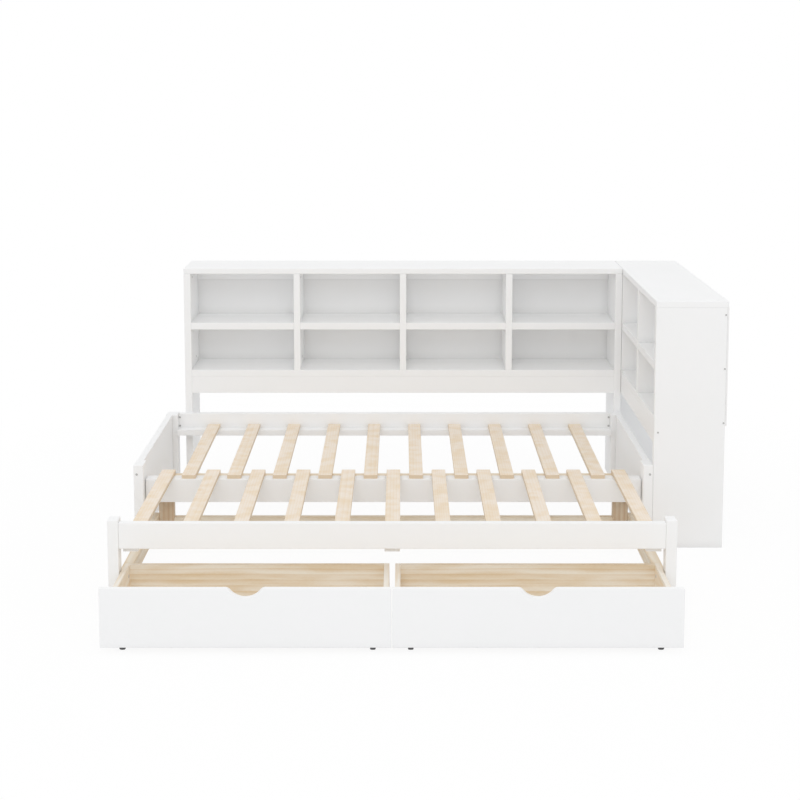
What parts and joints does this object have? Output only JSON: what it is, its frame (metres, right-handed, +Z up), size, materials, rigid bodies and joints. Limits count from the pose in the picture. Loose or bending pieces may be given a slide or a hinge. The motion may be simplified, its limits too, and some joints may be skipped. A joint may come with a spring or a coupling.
{
  "type": "storage daybed",
  "caption": "Daybed with a pull-out slatted half, two rolling drawers and an L of open bookcases behind and beside it.",
  "frame": {"origin": "on the floor, in the middle of the footprint with the pull-out half and both drawers drawn out as in the picture", "axes": "+X to the right seen from the foot, +Y towards the rear bookcase, +Z up"},
  "size_m": [2.2844, 2.3756, 0.967],
  "materials": {
    "white_paint": "satin white paint on solid wood",
    "white_panel": "satin white laminate on fibreboard",
    "slat_pine": "bare sanded pine",
    "frame_pine": "clear-sealed pine",
    "drawer_pine": "clear-sealed pine",
    "zinc_fastener": "zinc-plated steel",
    "caster_steel": "black painted steel",
    "bracket_steel": "light grey painted steel",
    "wheel_rubber": "matte dark rubber",
    "glide_nylon": "moulded nylon"
  },
  "bodies": {
    "fixed_half": {"arm_front_post_left": "white_paint", "arm_front_post_right": "white_paint", "arm_panel_left": "white_paint", "arm_panel_right": "white_paint", "arm_rear_posts": "white_paint", "back_ledger": "white_paint", "back_rail": "white_paint", "bed_bolts": "zinc_fastener", "case_fasteners": "zinc_fastener", "fixed_slats": "slat_pine", "middle_ledger": "white_paint", "middle_rail": "white_paint", "rail_brackets": "bracket_steel", "rear_case_apron": "white_paint", "rear_case_back_panel": "white_panel", "rear_case_bottom_shelf": "white_paint", "rear_case_dividers": "white_paint", "rear_case_mid_shelves": "white_paint", "rear_case_side_left": "white_paint", "rear_case_side_right": "white_paint", "rear_case_top": "white_paint", "rear_case_top_rails": "white_paint", "side_case_apron": "white_paint", "side_case_back_panel": "white_panel", "side_case_bottom_shelf": "white_paint", "side_case_corner_panel": "white_paint", "side_case_divider": "white_paint", "side_case_front_end": "white_paint", "side_case_mid_shelves": "white_paint", "side_case_rear_end": "white_paint", "side_case_top": "white_paint", "side_case_top_rails": "white_paint"},
    "pull_out_half": {"frame_bolts": "zinc_fastener", "front_ledger": "white_paint", "front_post_left": "white_paint", "front_post_right": "white_paint", "front_rail": "white_paint", "leg_glides": "glide_nylon", "lower_rear_bar": "frame_pine", "moving_slats": "slat_pine", "rear_legs": "frame_pine", "side_rail_left": "frame_pine", "side_rail_right": "frame_pine", "upper_rear_bar": "frame_pine"},
    "drawer_left": {"drawer_left_back": "drawer_pine", "drawer_left_bottom": "drawer_pine", "drawer_left_cams": "zinc_fastener", "drawer_left_casters": "caster_steel", "drawer_left_front": "white_paint", "drawer_left_sides": "drawer_pine"},
    "drawer_right": {"drawer_right_back": "drawer_pine", "drawer_right_bottom": "drawer_pine", "drawer_right_cams": "zinc_fastener", "drawer_right_casters": "caster_steel", "drawer_right_front": "white_paint", "drawer_right_sides": "drawer_pine"},
    "drawer_left_front_wheels": {"drawer_left_front_wheels": "wheel_rubber"},
    "drawer_left_rear_wheels": {"drawer_left_rear_wheels": "wheel_rubber"},
    "drawer_right_front_wheels": {"drawer_right_front_wheels": "wheel_rubber"},
    "drawer_right_rear_wheels": {"drawer_right_rear_wheels": "wheel_rubber"}
  },
  "joints": [
    {"name": "pull_out_slide", "type": "slide", "parent": "fixed_half", "child": "pull_out_half", "axis": [0, 1, 0], "range_m": [0, 0.741]},
    {"name": "drawer_left_slide", "type": "slide", "parent": "pull_out_half", "child": "drawer_left", "axis": [0, 1, 0], "range_m": [-0.06, 0.291]},
    {"name": "drawer_left_front_wheels_roll", "type": "hinge", "parent": "drawer_left", "child": "drawer_left_front_wheels", "pos_m": [-0.20025, -1.1468, 0.016], "axis": [1, 0, 0], "continuous": true},
    {"name": "drawer_left_rear_wheels_roll", "type": "hinge", "parent": "drawer_left", "child": "drawer_left_rear_wheels", "pos_m": [-0.20025, -0.8088, 0.016], "axis": [1, 0, 0], "continuous": true},
    {"name": "drawer_right_slide", "type": "slide", "parent": "pull_out_half", "child": "drawer_right", "axis": [0, 1, 0], "range_m": [-0.06, 0.291]},
    {"name": "drawer_right_front_wheels_roll", "type": "hinge", "parent": "drawer_right", "child": "drawer_right_front_wheels", "pos_m": [-0.07825, -1.1468, 0.016], "axis": [1, 0, 0], "continuous": true},
    {"name": "drawer_right_rear_wheels_roll", "type": "hinge", "parent": "drawer_right", "child": "drawer_right_rear_wheels", "pos_m": [-0.07825, -0.8088, 0.016], "axis": [1, 0, 0], "continuous": true}
  ]
}
